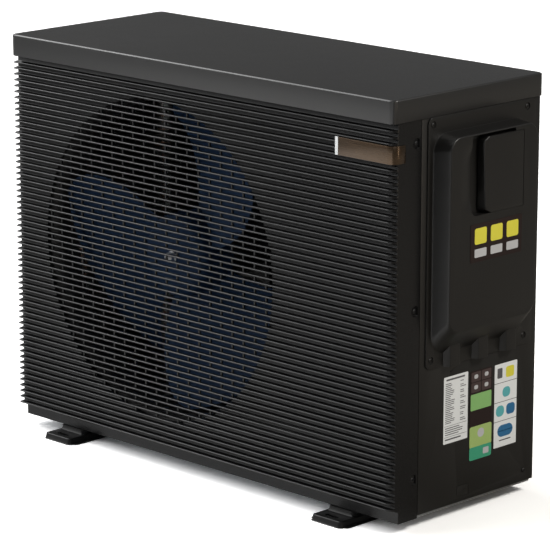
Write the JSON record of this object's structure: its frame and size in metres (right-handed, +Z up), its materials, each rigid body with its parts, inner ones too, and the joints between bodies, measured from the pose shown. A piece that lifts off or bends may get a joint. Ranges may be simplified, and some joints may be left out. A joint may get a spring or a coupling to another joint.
{
  "type": "pool heat pump unit",
  "caption": "Outdoor pool and spa heat pump: ribbed front with a round fan grille, sheet-metal cabinet, moulded service cover with a hinged controller door, two feet and rear water unions.",
  "frame": {"origin": "on the floor under the middle of the bounding box", "axes": "+X towards the service-cover side (right), -Y out of the front grille, +Z up"},
  "size_m": [0.9962, 0.466, 0.753],
  "materials": {
    "lid_paint": "dark grey powder coat, satin",
    "front_plastic": "near-black moulding, satin",
    "side_paint": "charcoal powder coat, fine texture",
    "cover_plastic": "charcoal moulding, satin",
    "foot_paint": "dark grey powder coat",
    "galvanised_steel": "galvanised sheet",
    "bright_steel": "machined",
    "black_steel": "black oxide",
    "motor_paint": "black gloss paint",
    "compressor_paint": "black gloss paint",
    "fin_aluminium": "mill finish",
    "copper": "drawn copper tube",
    "valve_brass": "machined",
    "titanium": "drawn titanium tube",
    "navy_plastic": "dark blue moulding",
    "dark_plastic": "black moulding",
    "grey_pvc": "grey pressure pipe plastic",
    "white_plastic": "off-white moulding",
    "key_rubber": "soft grey",
    "rubber": "black",
    "display_gloss": "smoked, glossy",
    "bronze_trim": "bronze tone, brushed",
    "white_label": "printed film",
    "brown_label": "printed film",
    "circuit_board": "solder resist"
  },
  "bodies": {
    "cabinet": {"top_cover": "lid_paint", "front_panel": "front_plastic", "right_side_panel": "side_paint", "left_side_panel": "side_paint", "rear_coil_guard": "side_paint", "rear_panel": "side_paint", "base_pan": "galvanised_steel", "foot_left": "foot_paint", "foot_right": "foot_paint", "service_cover": "cover_plastic", "controller_unit": "dark_plastic", "display_window": "display_gloss", "trim_strip": "bronze_trim", "warning_label": "brown_label", "rating_plate": "white_label", "energy_label": "brown_label", "safety_label": "white_label", "cover_screw_1": "black_steel", "cover_screw_2": "black_steel", "cover_screw_3": "black_steel", "cover_screw_4": "black_steel", "front_panel_screw_1": "black_steel", "front_panel_screw_2": "black_steel", "front_panel_screw_3": "black_steel", "side_panel_screw": "black_steel", "partition_panel": "side_paint", "evaporator_coil": "fin_aluminium", "fan_shroud": "dark_plastic", "motor_bracket": "black_steel", "fan_motor": "motor_paint", "compressor": "compressor_paint", "compressor_mount_1": "rubber", "compressor_mount_2": "rubber", "compressor_mount_3": "rubber", "four_way_valve": "valve_brass", "valve_solenoid": "dark_plastic", "expansion_valve": "valve_brass", "discharge_pipe": "copper", "suction_pipe": "copper", "gas_pipe": "copper", "liquid_pipe": "copper", "coil_return_pipe": "copper", "exchanger_shell": "grey_pvc", "exchanger_coil": "titanium", "inlet_union": "dark_plastic", "outlet_union": "dark_plastic", "electronics_box": "galvanised_steel", "inverter_board": "circuit_board", "heat_sink": "fin_aluminium", "terminal_block": "white_plastic"},
    "fan": {"fan_shaft": "bright_steel", "fan_blade": "navy_plastic", "fan_nut": "bright_steel"},
    "controller_door": {"controller_door": "cover_plastic"},
    "key_power": {"key_power": "key_rubber"},
    "key_mode": {"key_mode": "key_rubber"},
    "key_up": {"key_up": "key_rubber"},
    "key_down": {"key_down": "key_rubber"},
    "inlet_union_nut": {"inlet_union_nut": "dark_plastic"},
    "outlet_union_nut": {"outlet_union_nut": "dark_plastic"}
  },
  "joints": [
    {"name": "fan_spin", "type": "hinge", "parent": "cabinet", "child": "fan", "pos_m": [-0.12645, -0.112, 0.3829], "axis": [0, 1, 0], "continuous": true},
    {"name": "controller_door_hinge", "type": "hinge", "parent": "cabinet", "child": "controller_door", "pos_m": [0.49335, 0.074, 0.6055], "axis": [0, 0, 1], "range_deg": [0, 90]},
    {"name": "key_power_press", "type": "slide", "parent": "cabinet", "child": "key_power", "axis": [-1, 0, 0], "range_m": [0, 0.0008]},
    {"name": "key_mode_press", "type": "slide", "parent": "cabinet", "child": "key_mode", "axis": [-1, 0, 0], "range_m": [0, 0.0008]},
    {"name": "key_up_press", "type": "slide", "parent": "cabinet", "child": "key_up", "axis": [-1, 0, 0], "range_m": [0, 0.0008]},
    {"name": "key_down_press", "type": "slide", "parent": "cabinet", "child": "key_down", "axis": [-1, 0, 0], "range_m": [0, 0.0008]},
    {"name": "inlet_union_nut_turn", "type": "hinge", "parent": "cabinet", "child": "inlet_union_nut", "pos_m": [0.32695, 0.188, 0.13], "axis": [0, 1, 0], "continuous": true},
    {"name": "outlet_union_nut_turn", "type": "hinge", "parent": "cabinet", "child": "outlet_union_nut", "pos_m": [0.32695, 0.188, 0.43], "axis": [0, 1, 0], "continuous": true}
  ]
}
